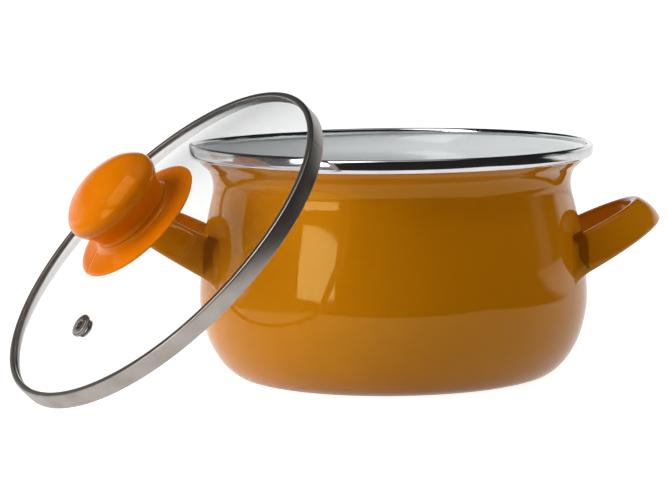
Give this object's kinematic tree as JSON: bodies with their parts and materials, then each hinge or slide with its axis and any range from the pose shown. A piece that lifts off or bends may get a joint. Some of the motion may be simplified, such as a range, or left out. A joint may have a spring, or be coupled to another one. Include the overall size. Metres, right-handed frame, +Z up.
{
  "type": "saucepan with glass lid",
  "caption": "Bellied enamelled cooking pot with a rolled steel rim and two loop handles, and a domed glass lid with a knob and a steam vent leaning on the rim.",
  "frame": {"origin": "centre of the pot's flat base, on the surface that it stands on", "axes": "+Z up; the two loop handles lie along X; the lid leans over the -X, -Y side"},
  "size_m": [0.3364, 0.2633, 0.1505],
  "materials": {
    "enamel": "glossy vitreous enamel, amber outside and pale grey inside",
    "polished_rim": "polished stainless steel",
    "satin_band": "satin stainless steel",
    "tempered_glass": "clear tempered glass",
    "phenolic": "glossy orange phenolic",
    "silicone": "translucent grey silicone",
    "brass": "machined brass"
  },
  "bodies": {
    "pot": {"pot_body": "enamel", "pot_rim_band": "polished_rim", "handle_left": "enamel", "handle_right": "enamel"},
    "lid": {"lid_glass": "tempered_glass", "lid_rim_band": "satin_band", "lid_edge_liner": "silicone", "vent_eyelet": "satin_band", "vent_seal": "silicone", "vent_washer": "satin_band", "knob_grip": "phenolic", "knob_skirt": "phenolic", "knob_insert": "brass", "knob_screw": "polished_rim", "knob_washer": "polished_rim", "knob_seal_upper": "silicone", "knob_seal_lower": "silicone"}
  },
  "joints": [
    {"name": "lid_lift", "type": "slide", "parent": "pot", "child": "lid", "axis": [0, 0, 1], "range_m": [0, 0.2]}
  ]
}
